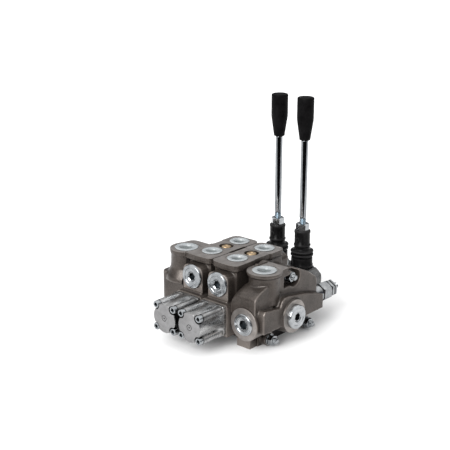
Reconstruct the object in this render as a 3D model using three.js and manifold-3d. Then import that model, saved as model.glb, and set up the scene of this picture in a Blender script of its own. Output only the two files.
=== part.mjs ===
// Two-spool sectional directional control valve with hand levers.
// Millimetres, +Z up, +X along the stack of sections, +Y from the spring caps to the levers.
import * as THREE from 'three';
import { mergeVertices } from 'three/addons/utils/BufferGeometryUtils.js';
import Module from 'manifold-3d';

const wasm = await Module();
wasm.setup();

// ---------------------------------------------------------------- driving dimensions

const GAP = 0.3; // clearance left between touching pieces
const ROUND = 20; // sides of an outside round
const BORE = 14; // sides of a bore and of the shank in it

const PITCH = 46; // distance between the two spool axes
const SPOOL_Z = 40;
const SPOOL_X = [0, PITCH];
const SECTION_HALF = PITCH / 2 - GAP / 2;

const BODY = { front: -19.5, rear: 121.5, low: 17, high: 62, keel: 3, keelFront: 14 };
const PLATE = { front: -2, rear: 102, low: 101.5, top: 110.5, half: 22.5 };
const PORT_A_Y = 26.8;
const PORT_B_Y = 83.9;
const CHECK_Y = 56;
const WORK_PORT = { bore: 10.5, depth: 16, flange: 14 };
const MAIN_PORT = { bore: 12, depth: 16, flange: 16.3 };

const AUX = { z: 84.2, half: 18, reach: 12, low: 55, high: 100, bore: 10, flange: 16.8, socket: 10 };

const OUTLET = {
  left: -68, front: -8, high: 76, corner: 12, upperLeft: -58,
  portX: -37.4, portY: 14.9, towerRadius: 21.8, rimRadius: 22.9,
};
const INLET = {
  right: 121.5, wall: 110, base: 91.5, front: -8, rear: 121,
  centreX: 92.5, portY: 27.6, top: 104.2, bossFace: -13.8, bossRadius: 23,
  sideY: 52, sideZ: 41, sideFace: 125, sideRadius: 22.8, plugBore: 12,
  towerRadius: 20.6, rimRadius: 24, rimHeight: 6,
};
const RELIEF = { // Y stations of the parts of the relief valve that stand out of the inlet section
  x: 95.6, z: 39, bore: 12.3, collar: 13.2, flats: 24, hexStart: 145, hexEnd: 162,
  nutFlats: 22, nutEnd: 175, adjuster: 4.5, tip: 188,
};

const TIE_RODS = [[27, 9.5], [106, 9.5], [70, 86.5]]; // Y and Z of each rod
const TIE_SEATS = [103, 103, 98.5]; // X of each nut's seat on the inlet section
const TIE = {
  radius: 4, hole: 4.5, seatLeft: -58, endLeft: -67.5, stud: 5.5, nutHeight: 8, nutFlats: 13,
  lobe: 9.4, topLobe: 11, pocket: 12,
};

const CAP = { front: -67.5, half: 20.75, screwAt: 15.5, screwHead: 5, screwShank: 3, headLength: 6 };
const SPOOL = { land: 8, groove: 5.4, guide: 4, collar: 11.5, front: -55.5, boreClearance: GAP };
const CHECK = { bore: 7.2, recess: 10.25, plug: 6.75, seat: 66 };

const LEVER = {
  y: 170, pivotZ: 60, pinRadius: 4, boxHalf: 20, noseY: 173, noseZ: 41, noseRadius: 20.5,
  rodRadius: 5, threadRadius: 4.8, nutFlats: 17, knobBore: 4,
  socketRadius: 8, socketTop: 117.5, nutTop: 127, rodStart: 135.6, rodTop: 249, knobTop: 310.6,
};

const PLUG_FLANGE = 3; // thickness of a steel plug's flange
const SIDE_FLANGE = 6; // the plug in the inlet's side stands further out
const SIDE_PLUG_FACE = INLET.sideFace + GAP + SIDE_FLANGE;

// The origin is the middle of the bottom of the whole valve.
const CENTRE_X = (OUTLET.left + SIDE_PLUG_FACE) / 2;
const CENTRE_Y = (CAP.front + LEVER.noseY + LEVER.noseRadius) / 2;

// ---------------------------------------------------------------- solids

// A closed three.js geometry as a solid that can be joined and cut.
function solid(geometry) {
  geometry.deleteAttribute('normal');
  geometry.deleteAttribute('uv');
  const merged = mergeVertices(geometry, 1e-4);
  const corners = merged.index.array;
  const triangles = [];
  for (let i = 0; i < corners.length; i += 3) {
    const [a, b, c] = [corners[i], corners[i + 1], corners[i + 2]];
    if (a !== b && b !== c && c !== a) triangles.push(a, b, c);
  }
  return new wasm.Manifold(new wasm.Mesh({
    numProp: 3,
    vertProperties: new Float32Array(merged.attributes.position.array),
    triVerts: new Uint32Array(triangles),
  }));
}

function geometryOf(shape) {
  const mesh = shape.getMesh();
  const geometry = new THREE.BufferGeometry();
  geometry.setAttribute('position', new THREE.BufferAttribute(new Float32Array(mesh.vertProperties), 3));
  geometry.setIndex(new THREE.BufferAttribute(new Uint32Array(mesh.triVerts), 1));
  return geometry;
}

const join = (...shapes) => shapes.reduce((whole, shape) => whole.add(shape));
const cut = (body, ...tools) => tools.reduce((whole, tool) => whole.subtract(tool), body);

function block([x0, x1], [y0, y1], [z0, z1]) {
  const geometry = new THREE.BoxGeometry(x1 - x0, y1 - y0, z1 - z0);
  return solid(geometry.translate((x0 + x1) / 2, (y0 + y1) / 2, (z0 + z1) / 2));
}

// Turns a geometry made about +Y, with its stations along +Y, so that it lies along the named axis.
// The two centre coordinates are the other two in X, Y, Z order.
function along(axis, [c1, c2], geometry) {
  if (axis === 'X') return geometry.rotateZ(-Math.PI / 2).translate(0, c1, c2);
  if (axis === 'Y') return geometry.translate(c1, 0, c2);
  return geometry.rotateX(Math.PI / 2).translate(c1, c2, 0);
}

function rod(axis, centre, radius, from, to, sides = BORE) {
  const geometry = new THREE.CylinderGeometry(radius, radius, to - from, sides);
  return solid(along(axis, centre, geometry.translate(0, (from + to) / 2, 0)));
}

// A hexagonal bar with two of its flats square to the last axis.
function hexBar(axis, centre, flats, from, to) {
  return rod(axis, centre, flats / Math.sqrt(3), from, to, 6);
}

// A turned shape from [radius, station] pairs that start and end on the axis or close on themselves.
function turned(axis, centre, profile, sides = BORE) {
  const points = profile.map(([radius, station]) => new THREE.Vector2(radius, station));
  return solid(along(axis, centre, new THREE.LatheGeometry(points, sides)));
}

function extruded(points, length) {
  const shape = new THREE.Shape(points.map(([a, b]) => new THREE.Vector2(a, b)));
  return new THREE.ExtrudeGeometry(shape, { depth: length, bevelEnabled: false });
}

// An outline in X and Y, raised from z0 to z1.
function prismZ(points, z0, z1) {
  return solid(extruded(points, z1 - z0).translate(0, 0, z0));
}

// An outline in Y and Z, run from x0 to x1.
function prismX(points, x0, x1) {
  return solid(extruded(points, x1 - x0).rotateY(Math.PI / 2).rotateX(Math.PI / 2).translate(x0, 0, 0));
}

// An outline in X and Z, run from y0 to y1.
function prismY(points, y0, y1) {
  return solid(extruded(points, y1 - y0).rotateX(Math.PI / 2).translate(0, y1, 0));
}

// Points on an arc, angles in degrees from the first axis of the outline.
function arc(a, b, radius, from, to, steps) {
  return Array.from({ length: steps + 1 }, (_, i) => {
    const angle = THREE.MathUtils.degToRad(from + ((to - from) * i) / steps);
    return [a + radius * Math.cos(angle), b + radius * Math.sin(angle)];
  });
}

// A rectangle with its corners cut at 45 degrees.
function chamfered([a0, a1], [b0, b1], c) {
  return [
    [a0 + c, b0], [a1 - c, b0], [a1, b0 + c], [a1, b1 - c],
    [a1 - c, b1], [a0 + c, b1], [a0, b1 - c], [a0, b0 + c],
  ];
}

// ---------------------------------------------------------------- materials

function finish(colour, roughness, metalness) {
  return new THREE.MeshStandardMaterial({ color: colour, roughness, metalness });
}

const castIron = finish(0x5a5450, 0.62, 0.45);
const dieCast = finish(0xb4b6b8, 0.42, 0.8);
const zincSteel = finish(0xb9c4ca, 0.3, 0.95);
const chrome = finish(0xd8dbde, 0.12, 1);
const springSteel = finish(0x8a8c8e, 0.35, 0.95);
const brass = finish(0xd6b48c, 0.38, 0.9);
const rubber = finish(0x161616, 0.7, 0);
const blackPlastic = finish(0x1b1b1b, 0.5, 0);
const clearPlastic = finish(0xd2d8da, 0.35, 0);

// ---------------------------------------------------------------- the valve as a scene

const valve = new THREE.Group();
valve.position.set(-CENTRE_X, -CENTRE_Y, 0);

function addPiece(group, name, shape, material) {
  const mesh = new THREE.Mesh(geometryOf(shape), material);
  mesh.name = name;
  group.add(mesh);
}

function newGroup(x = 0) {
  const group = new THREE.Group();
  group.position.x = x;
  valve.add(group);
  return group;
}

// ---------------------------------------------------------------- castings

function tieRodHoles(x0, x1) {
  return TIE_RODS.map((at) => rod('X', at, TIE.hole, x0, x1));
}

// Boss with a screwed valve cavity, at the front or the rear of a working section.
function auxBoss(y0, y1) {
  return prismY(chamfered([-AUX.half, AUX.half], [AUX.low, AUX.high], 6), y0, y1);
}

function workingSection() {
  const { front, rear, low, high } = BODY;
  const cheek = 3.3; // the neck is this much narrower than the joint faces
  const neckHalf = SECTION_HALF - cheek;
  const plateCorner = 6;
  const oilPassage = 5;
  const body = join(
    block([-SECTION_HALF, SECTION_HALF], [front, rear], [low, high]),
    block([-SECTION_HALF, SECTION_HALF], [BODY.keelFront, rear], [BODY.keel, low + 1]),
    block([-neckHalf, neckHalf], [2, 100], [high - 1, PLATE.low + 1]),
    prismZ(
      chamfered([-PLATE.half, PLATE.half], [PLATE.front, PLATE.rear], plateCorner),
      PLATE.low, PLATE.top,
    ),
    rod('X', TIE_RODS[2], TIE.topLobe, -SECTION_HALF, SECTION_HALF),
    auxBoss(PLATE.front - AUX.reach + 2, 6),
    auxBoss(96, PLATE.rear + AUX.reach),
  );
  const waist = [-1, 1].map((side) => {
    const edges = [side * (PLATE.half - 2), side * (PLATE.half + 1)].sort((a, b) => a - b);
    return block(edges, [38, 70], [PLATE.low - 1, PLATE.top + 1]);
  });
  const ports = [PORT_A_Y, PORT_B_Y].flatMap((y) => [
    rod('Z', [0, y], WORK_PORT.bore, PLATE.top - WORK_PORT.depth, PLATE.top + 1),
    rod('Z', [0, y], oilPassage, SPOOL_Z + 6, PLATE.top - WORK_PORT.depth + 1, 8),
  ]);
  const screwHoles = corners(CAP.screwAt).map(([x, z]) =>
    rod('Y', [x, SPOOL_Z + z], CAP.screwShank + GAP, front - 1, front + 14, 8));
  return cut(
    body,
    ...waist,
    ...ports,
    rod('Y', [0, SPOOL_Z], SPOOL.land + SPOOL.boreClearance, front - 1, rear + 1),
    rod('Z', [0, CHECK_Y], CHECK.recess, PLATE.top - 7, PLATE.top + 1),
    rod('Z', [0, CHECK_Y], CHECK.bore, CHECK.seat, PLATE.top),
    rod('Y', [0, AUX.z], AUX.bore, PLATE.front - AUX.reach - 1, 24),
    rod('Y', [0, AUX.z], AUX.bore, 87, PLATE.rear + AUX.reach + 1),
    ...screwHoles,
    ...tieRodHoles(-SECTION_HALF - 1, SECTION_HALF + 1),
  );
}

function outletSection() {
  const right = -PITCH / 2 - GAP / 2;
  const { left, front, high, corner, portX, portY, upperLeft, towerRadius, rimRadius } = OUTLET;
  const base = prismZ([
    [right, front], [right, BODY.rear], [left, BODY.rear],
    ...arc(left + corner, front + corner, corner, 180, 270, 5),
  ].reverse(), 0, high);
  const upper = prismX([
    [121, 60], [121, high - 1], [104, 82], [84, 90], [76, 95], [10, 95], [10, 60],
  ], upperLeft, right);
  const plate = prismZ([
    [-47, 0], [right, 0], [right, 46], [-47, 46], [-54, 40], [-54, 20],
  ], PLATE.top - 7, PLATE.top);
  const tower = join(
    rod('Z', [portX, portY], towerRadius, high - 2, PLATE.top - 6, ROUND + 4),
    rod('Z', [portX, portY], rimRadius, PLATE.top - 7, PLATE.top, ROUND + 4),
  );
  const beyondJoint = block([right, 0], [-20, 60], [high - 10, PLATE.top + 1]);
  const nutPockets = TIE_RODS.map((at) => rod('X', at, TIE.pocket, left - 1, TIE.seatLeft));
  return cut(
    join(base, upper, plate, tower),
    beyondJoint,
    rod('Z', [portX, portY], MAIN_PORT.bore, PLATE.top - MAIN_PORT.depth, PLATE.top + 1),
    ...nutPockets,
    ...tieRodHoles(left - 1, right + 1),
  );
}

function inletSection() {
  const joint = PITCH * 1.5 + GAP / 2;
  const { right, wall, base, front, rear, centreX, portY, top } = INLET;
  const { towerRadius, rimRadius, rimHeight } = INLET;
  const foot = block([joint, base], [0, rear], [0, 40]);
  const middle = block([joint, wall - 4], [front, rear], [27, 64]);
  const sideBlock = prismX([
    [front, 31], [rear, 31], [rear, 51], [83, 62], [48, 68], [34, 68], [27, 56.5], [front, 62],
  ], wall - 12, right);
  const upper = prismX([
    [20, 50], [rear, 50], [rear, 73], [118, 76], [102, 86], [76, 96], [58, 98], [20, 98],
  ], joint, wall);
  const flange = prismX([
    [36, 60], [100, 60], [103, 87], [85, 94], [67, 100], [57, 106], [48, 106], [41, 102], [36, 96],
  ], joint, joint + 6);
  const hump = prismX([
    [front - 2, 50], [30, 50], [30, 88], [4, 88], [-5, 84], [front - 2, 76],
  ], joint, wall);
  const arch = prismY([
    [joint, 40], [wall, 40], [wall, 88], [84, 88], [76, 85], [joint + 2, 78], [joint, 72],
  ], -30, 40);
  const plate = join(
    rod('Z', [centreX, portY], rimRadius, top - rimHeight, top, ROUND + 4),
    block([76, wall], [portY, 58], [top - rimHeight - 1, top]),
  );
  const beyondJoint = block([joint - 10, joint], [-30, 60], [-1, top + 1]);
  const besideTower = block([joint - 1, centreX - towerRadius], [front, 58], [88, top + 1]);
  const lobes = TIE_RODS.slice(0, 2).map((at, i) =>
    rod('X', at, TIE.lobe, joint + 1, TIE_SEATS[i], ROUND));
  const bossCentre = [centreX, SPOOL_Z];
  const sideCentre = [INLET.sideY, INLET.sideZ];
  const body = join(
    foot, middle, sideBlock, cut(upper, besideTower), flange, hump.intersect(arch), plate, ...lobes,
    rod('Z', [centreX, portY], towerRadius, 60, top - rimHeight + 1, ROUND),
    rod('Y', bossCentre, INLET.bossRadius, INLET.bossFace, 10, ROUND + 4),
    rod('X', sideCentre, INLET.sideRadius, wall - 10, INLET.sideFace, ROUND + 4),
  );
  return cut(
    body,
    beyondJoint,
    rod('Z', [centreX, portY], MAIN_PORT.bore, top - MAIN_PORT.depth, top + 1),
    rod('Y', bossCentre, INLET.plugBore, INLET.bossFace - 1, 4),
    rod('X', sideCentre, INLET.plugBore, 108, INLET.sideFace + 1),
    rod('Y', [RELIEF.x, RELIEF.z], RELIEF.bore, 99, rear + 1),
    rod('X', TIE_RODS[2], TIE.pocket, TIE_SEATS[2], wall + 1),
    block([TIE_SEATS[2], wall + 1], [50, 70], [76, 93]),
    ...tieRodHoles(joint - 1, right),
  );
}

// ---------------------------------------------------------------- fasteners and plugs

function corners(reach) {
  return [[-reach, reach], [reach, reach], [-reach, -reach], [reach, -reach]];
}

// A flanged plug screwed into a boss; it points back along the axis from face to root.
function steelPlug(axis, centre, { flange, stem, face, root, seat, socket }) {
  const inward = Math.sign(root - face);
  const lo = (a, b) => [Math.min(a, b), Math.max(a, b)];
  return cut(
    join(
      rod(axis, centre, flange, ...lo(face, seat), ROUND),
      rod(axis, centre, stem, ...lo(seat - inward, root)),
    ),
    hexBar(axis, centre, socket, ...lo(face - inward, face + inward * 6)),
  );
}

function portPlug(centre, surface, { bore, flange }) {
  const seat = surface + GAP;
  const stem = bore - GAP;
  const wall = 1.6;
  return turned('Z', centre, [
    [0, seat - 8], [stem, seat - 8], [stem, seat], [flange, seat], [flange, seat + 1.4],
    [stem - wall, seat + 1.4], [stem - wall, seat - 5], [0, seat - 5],
  ], 16);
}

function capScrew(x, z) {
  const { front, screwHead, screwShank, headLength } = CAP;
  return cut(
    join(
      rod('Y', [x, z], screwHead, front, front + headLength, 12),
      rod('Y', [x, z], screwShank, front + headLength - 1, BODY.front + 12, 8),
    ),
    hexBar('Y', [x, z], 5, front - 1, front + 3),
  );
}

function tieNut(at, from) {
  return cut(
    hexBar('X', at, TIE.nutFlats, from, from + TIE.nutHeight),
    rod('X', at, TIE.radius + GAP, from - 1, from + TIE.nutHeight + 1, 12),
  );
}

// ---------------------------------------------------------------- spring cap and spool

function springCap() {
  const { front, half, screwAt, screwHead, screwShank, headLength } = CAP;
  const back = BODY.front - GAP;
  const outer = prismY(chamfered([-half, half], [SPOOL_Z - half, SPOOL_Z + half], 3), front, back);
  const pocket = screwHead + 1.2;
  const depth = [front - 1, front + headLength + GAP];
  const outwards = (sign, from) => [sign * from, sign * (half + 1)].sort((a, b) => a - b);
  const pockets = corners(screwAt).flatMap(([x, z]) => {
    const [signX, signZ] = [Math.sign(x), Math.sign(z)];
    const beside = outwards(signZ, screwAt - pocket).map((v) => v + SPOOL_Z);
    const beyond = outwards(signZ, screwAt).map((v) => v + SPOOL_Z);
    return [
      rod('Y', [x, SPOOL_Z + z], pocket, ...depth, 12),
      block(outwards(signX, screwAt), depth, beside),
      block(outwards(signX, screwAt - pocket), depth, beyond),
      rod('Y', [x, SPOOL_Z + z], screwShank + GAP, front, back + 1, 8),
    ];
  });
  return cut(outer, rod('Y', [0, SPOOL_Z], 13.2, front + 5, back + 1), ...pockets);
}

function spool() {
  const { land, groove, guide, collar, front } = SPOOL;
  const capEnd = BODY.front - 1;
  const forkStart = LEVER.y - 15;
  const profile = [
    [0, front], [collar, front], [collar, front + 2.5],
    [guide, front + 2.5], [guide, capEnd], [land, capEnd],
  ];
  for (const y of [22, 79]) {
    profile.push([land, y], [groove, y + 1.5], [groove, y + 10.5], [land, y + 12]);
  }
  profile.push([land, BODY.rear + 8], [6.5, BODY.rear + 10], [6.5, forkStart], [0, forkStart]);
  const shank = turned('Y', [0, SPOOL_Z], profile);
  const tongue = block([-6.2, 6.2], [forkStart - 2, LEVER.y + 8], [SPOOL_Z - 9, SPOOL_Z + 5]);
  const slot = block([-8, 8], [LEVER.y - 4.8, LEVER.y + 4.8], [SPOOL_Z - 5.4, SPOOL_Z + 10]);
  return cut(join(shank, tongue), slot);
}

class Helix extends THREE.Curve {
  constructor(radius, from, to, turns) {
    super();
    Object.assign(this, { radius, from, to, turns });
  }

  getPoint(t) {
    const angle = 2 * Math.PI * this.turns * t;
    const y = this.from + (this.to - this.from) * t;
    return new THREE.Vector3(this.radius * Math.cos(angle), y, SPOOL_Z + this.radius * Math.sin(angle));
  }
}

function centringSpring() {
  const wire = 1.1;
  const turns = 5;
  const section = new THREE.Shape(arc(0, 0, wire, 0, 270, 3).map(([a, b]) => new THREE.Vector2(a, b)));
  const path = new Helix(9, -52.7 + wire + GAP, BODY.front - 1.4 - wire, turns);
  const sweep = { steps: turns * 8, extrudePath: path, bevelEnabled: false };
  return solid(new THREE.ExtrudeGeometry(section, sweep));
}

// ---------------------------------------------------------------- lever mechanism

// Slim housing bolted to the rear of a section, with a round nose and a slot for the lever arm.
function leverBox() {
  const { y, noseY, noseZ, noseRadius, boxHalf, pivotZ, pinRadius } = LEVER;
  const start = BODY.rear + GAP;
  const low = noseZ - noseRadius;
  const outer = prismX([
    [start, low], ...arc(noseY, noseZ, noseRadius, -90, 90, 10), [start, noseZ + noseRadius],
  ], -boxHalf, boxHalf);
  const collar = rod('Z', [0, y], 13.5, noseZ + 10, 70, ROUND);
  return cut(
    join(outer, collar),
    block([-8, 8], [start + 4, 186.5], [SPOOL_Z - 11, noseZ + 13]),
    block([-8, 8], [y - 10, y + 10], [noseZ, noseZ + 25]),
    rod('Z', [0, y], 10.5, pivotZ + 3, 71),
    rod('Y', [0, SPOOL_Z], 9.5, start - 1, start + 5),
    rod('X', [y, pivotZ], pinRadius + GAP, -13.2, 13.2),
  );
}

// Pivot eye with an arm down to the spool's fork, which ends in a ball, and a threaded socket for
// the lever.
function leverSocket() {
  const { y, pivotZ, pinRadius, socketRadius, socketTop, threadRadius } = LEVER;
  const arm = 3;
  const [ballNeck, ball] = [2.6, 4.4];
  return cut(
    join(
      rod('X', [y, pivotZ], socketRadius, -7.6, 7.6),
      rod('Z', [0, y], arm, SPOOL_Z, pivotZ, 8),
      turned('Z', [0, y], [
        [0, SPOOL_Z - ball], [ballNeck, SPOOL_Z - 3.6], [ball, SPOOL_Z - 1], [ball, SPOOL_Z + 1],
        [ballNeck, SPOOL_Z + 3.6], [0, SPOOL_Z + ball],
      ], 8),
      turned('Z', [0, y], [
        [0, pivotZ], [5.5, pivotZ], [5.5, 82],
        [socketRadius, 88], [socketRadius, socketTop], [0, socketTop],
      ]),
    ),
    rod('X', [y, pivotZ], pinRadius + GAP, -9, 9),
    rod('Z', [0, y], threadRadius + GAP, 97, socketTop + 1, 12),
  );
}

// Rubber boot: wide skirt over the collar, two rings, and a long neck on the lever's socket.
function boot() {
  const foot = LEVER.noseZ + LEVER.noseRadius + GAP;
  const neck = LEVER.socketRadius + GAP;
  const lip = LEVER.socketTop - GAP;
  return turned('Z', [0, LEVER.y], [
    [14.2, foot], [16.3, foot], [16.3, 66], [15.6, 67], [15.6, 76], [15, 77.6],
    [16.6, 79], [16.6, 81.6], [15, 83.3], [16.7, 84.8],
    [15.5, 90], [11.6, 93], [11.6, lip], [neck, lip], [neck, 91], [14.2, 85], [14.2, foot],
  ]);
}

function lockNut() {
  const { y, socketTop, nutTop, nutFlats, threadRadius } = LEVER;
  return cut(
    hexBar('Z', [0, y], nutFlats, socketTop + GAP, nutTop),
    rod('Z', [0, y], threadRadius + GAP, socketTop - 1, nutTop + 1, 12),
  );
}

function leverRod() {
  const { y, rodStart, rodTop, rodRadius, threadRadius, knobBore } = LEVER;
  return turned('Z', [0, y], [
    [0, 98], [threadRadius, 98], [threadRadius, rodStart], [rodRadius, rodStart + 1],
    [rodRadius, rodTop - 1], [knobBore, rodTop], [knobBore, 288], [0, 288],
  ], 12);
}

function knob() {
  const { y, rodTop, knobTop, knobBore } = LEVER;
  const low = rodTop + GAP;
  return turned('Z', [0, y], [
    [knobBore + GAP, low], [7.8, low], [11.8, low + 29], [11.9, knobTop - 3], [9, knobTop],
    [0, knobTop], [0, 290], [knobBore + GAP, 290], [knobBore + GAP, low],
  ], ROUND);
}

// ---------------------------------------------------------------- assembly

const stack = newGroup();
addPiece(stack, 'outlet_section', outletSection(), castIron);
addPiece(stack, 'inlet_section', inletSection(), castIron);

TIE_RODS.forEach((at, i) => {
  const n = i + 1;
  const nutEnd = TIE_SEATS[i] + GAP + TIE.nutHeight;
  addPiece(stack, `tie_rod_${n}`, rod('X', at, TIE.radius, TIE.endLeft, nutEnd + TIE.stud), zincSteel);
  addPiece(stack, `tie_nut_inlet_${n}`, tieNut(at, TIE_SEATS[i] + GAP), zincSteel);
  addPiece(stack, `tie_nut_outlet_${n}`, tieNut(at, TIE.seatLeft - GAP - TIE.nutHeight), zincSteel);
});

addPiece(stack, 'inlet_front_plug', steelPlug('Y', [INLET.centreX, SPOOL_Z], {
  flange: 15, stem: INLET.plugBore - GAP, socket: 12,
  face: INLET.bossFace - GAP - 2, seat: INLET.bossFace - GAP, root: 2,
}), zincSteel);
addPiece(stack, 'inlet_side_plug', steelPlug('X', [INLET.sideY, INLET.sideZ], {
  flange: 16.5, stem: INLET.plugBore - GAP, socket: 12,
  face: SIDE_PLUG_FACE, seat: INLET.sideFace + GAP, root: 110,
}), zincSteel);

const plugP = portPlug([INLET.centreX, INLET.portY], INLET.top, MAIN_PORT);
const plugT = portPlug([OUTLET.portX, OUTLET.portY], PLATE.top, MAIN_PORT);
addPiece(stack, 'port_plug_p', plugP, clearPlastic);
addPiece(stack, 'port_plug_t', plugT, clearPlastic);

function addReliefValve() {
  const at = [RELIEF.x, RELIEF.z];
  const { bore, collar, flats, hexStart, hexEnd, nutFlats, nutEnd, adjuster, tip } = RELIEF;
  const face = INLET.rear + GAP;
  addPiece(stack, 'relief_valve_body', cut(
    join(
      rod('Y', at, bore - GAP, 101, face + 1),
      rod('Y', at, collar, face, hexStart + 1, ROUND),
      hexBar('Y', at, flats, hexStart, hexEnd),
    ),
    rod('Y', at, adjuster + GAP, 130, hexEnd + 1),
  ), zincSteel);
  addPiece(stack, 'relief_lock_nut', cut(
    hexBar('Y', at, nutFlats, hexEnd + GAP, nutEnd),
    rod('Y', at, adjuster + GAP, hexEnd - 1, nutEnd + 1),
  ), zincSteel);
  addPiece(stack, 'relief_adjuster', cut(
    rod('Y', at, adjuster, 132, tip),
    hexBar('Y', at, 4, tip - 3, tip + 1),
  ), zincSteel);
}
addReliefValve();

function addFrontPieces(section, n) {
  addPiece(section, `working_section_${n}`, workingSection(), castIron);
  addPiece(section, `spring_cap_${n}`, springCap(), dieCast);
  corners(CAP.screwAt).forEach(([dx, dz], k) => {
    addPiece(section, `cap_screw_${n}_${k + 1}`, capScrew(dx, SPOOL_Z + dz), zincSteel);
  });
  addPiece(section, `spool_${n}`, spool(), chrome);
  addPiece(section, `centring_spring_${n}`, centringSpring(), springSteel);
}

function addSectionPlugs(section, n) {
  const front = PLATE.front - AUX.reach + 2;
  const rear = PLATE.rear + AUX.reach;
  const plug = { flange: AUX.flange, stem: AUX.bore - GAP, socket: AUX.socket };
  addPiece(section, `front_valve_plug_${n}`, steelPlug('Y', [0, AUX.z], {
    ...plug, face: front - GAP - PLUG_FLANGE, seat: front - GAP, root: 10,
  }), zincSteel);
  addPiece(section, `rear_valve_plug_${n}`, steelPlug('Y', [0, AUX.z], {
    ...plug, face: rear + GAP + PLUG_FLANGE, seat: rear + GAP, root: 98,
  }), zincSteel);
  addPiece(section, `port_plug_a${n}`, portPlug([0, PORT_A_Y], PLATE.top, WORK_PORT), clearPlastic);
  addPiece(section, `port_plug_b${n}`, portPlug([0, PORT_B_Y], PLATE.top, WORK_PORT), clearPlastic);
  addPiece(section, `check_plug_${n}`, turned('Z', [0, CHECK_Y], [
    [0, 96], [CHECK.plug, 96], [CHECK.plug, PLATE.top - 1], [4.5, PLATE.top], [0, PLATE.top + 0.4],
  ]), brass);
  addPiece(section, `check_poppet_${n}`, turned('Z', [0, CHECK_Y], [
    [0, 67], [3.5, 67], [6.6, 71], [6.6, 88], [0, 88],
  ]), springSteel);
}

function addLever(section, n) {
  const { y, pivotZ, pinRadius } = LEVER;
  addPiece(section, `lever_box_${n}`, leverBox(), dieCast);
  addPiece(section, `pivot_pin_${n}`, rod('X', [y, pivotZ], pinRadius, -12.9, 12.9), springSteel);
  addPiece(section, `lever_socket_${n}`, leverSocket(), springSteel);
  addPiece(section, `boot_${n}`, boot(), rubber);
  addPiece(section, `lever_lock_nut_${n}`, lockNut(), zincSteel);
  addPiece(section, `lever_rod_${n}`, leverRod(), chrome);
  addPiece(section, `lever_knob_${n}`, knob(), blackPlastic);
}

SPOOL_X.forEach((x, i) => {
  const section = newGroup(x);
  addFrontPieces(section, i + 1);
  addSectionPlugs(section, i + 1);
  addLever(section, i + 1);
});

export default valve;
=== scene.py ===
"""Looks of a two-spool sectional hydraulic valve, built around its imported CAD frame.

Shapes are made in millimetres in the valve's own layout: x = 0 on the first spool's axis and grows along
the stack towards the inlet section, y grows from the spring caps towards the levers, and z = 0 is the
ground. settle() turns each finished mesh into metres in the CAD frame.
"""
import math

import bmesh
import bpy
from mathutils import Matrix, Vector


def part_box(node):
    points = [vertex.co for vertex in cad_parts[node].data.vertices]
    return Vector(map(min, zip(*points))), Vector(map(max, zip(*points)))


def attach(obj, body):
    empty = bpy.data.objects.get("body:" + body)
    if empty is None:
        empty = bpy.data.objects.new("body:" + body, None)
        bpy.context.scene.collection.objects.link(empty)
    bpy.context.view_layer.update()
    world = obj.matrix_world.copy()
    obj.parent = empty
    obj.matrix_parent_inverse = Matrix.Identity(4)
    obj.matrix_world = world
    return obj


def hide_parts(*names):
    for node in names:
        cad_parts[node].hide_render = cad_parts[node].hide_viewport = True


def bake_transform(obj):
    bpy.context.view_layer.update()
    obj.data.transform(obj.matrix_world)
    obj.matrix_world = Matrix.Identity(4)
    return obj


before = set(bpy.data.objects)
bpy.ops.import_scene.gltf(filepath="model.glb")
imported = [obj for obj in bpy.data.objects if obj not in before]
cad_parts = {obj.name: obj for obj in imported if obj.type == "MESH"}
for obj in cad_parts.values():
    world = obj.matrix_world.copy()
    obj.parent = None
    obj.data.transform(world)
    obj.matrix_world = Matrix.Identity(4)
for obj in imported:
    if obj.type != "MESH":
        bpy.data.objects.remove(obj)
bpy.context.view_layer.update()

MM = 0.001
BLOCK = "valve_block"
LEVER_Y = 170.0


def middle(node):
    low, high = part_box(node)
    return (low + high) / 2


ORIGIN = Vector((middle("lever_rod_1").x, middle("lever_rod_1").y - LEVER_Y * MM, 0.0))


def local(point):
    """A point of the CAD frame in millimetres of the valve's own layout."""
    return (point - ORIGIN) / MM


def extent(node):
    """Lowest and highest corner of a CAD node, in the valve's own layout."""
    low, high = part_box(node)
    return local(low), local(high)


SECTION = extent("working_section_1")
CAP = extent("spring_cap_1")
PITCH = (middle("lever_rod_2").x - middle("lever_rod_1").x) / MM
SPOOL_X = (0.0, PITCH)
SPOOL_Z = (CAP[0].z + CAP[1].z) / 2
PLATE_TOP = SECTION[1].z
SEAT_FRONT = CAP[1].y + 0.3
SEAT_REAR = extent("lever_box_1")[0].y - 0.3
HALF = SECTION[1].x

# -------------------- outlines and solids


def arc(a, b, radius, start, end, steps=8):
    """Points on an arc about (a, b), from one angle in degrees to another."""
    turns = [math.radians(start + (end - start) * i / steps) for i in range(steps + 1)]
    return [(a + radius * math.cos(t), b + radius * math.sin(t)) for t in turns]


def rounded(a0, a1, b0, b1, radius, steps=6):
    """A rectangle's outline with round corners."""
    return (
        arc(a1 - radius, b0 + radius, radius, -90, 0, steps)
        + arc(a1 - radius, b1 - radius, radius, 0, 90, steps)
        + arc(a0 + radius, b1 - radius, radius, 90, 180, steps)
        + arc(a0 + radius, b0 + radius, radius, 180, 270, steps)
    )


def hexagon(a, b, flats, turn=0.0):
    return arc(a, b, flats / math.sqrt(3), turn, turn + 300, 5)


def on_axis(axis, station, a, b):
    """A point at a station of an axis; a and b are its other two coordinates in x, y, z order."""
    return {"X": (station, a, b), "Y": (a, station, b), "Z": (a, b, station)}[axis]


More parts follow.
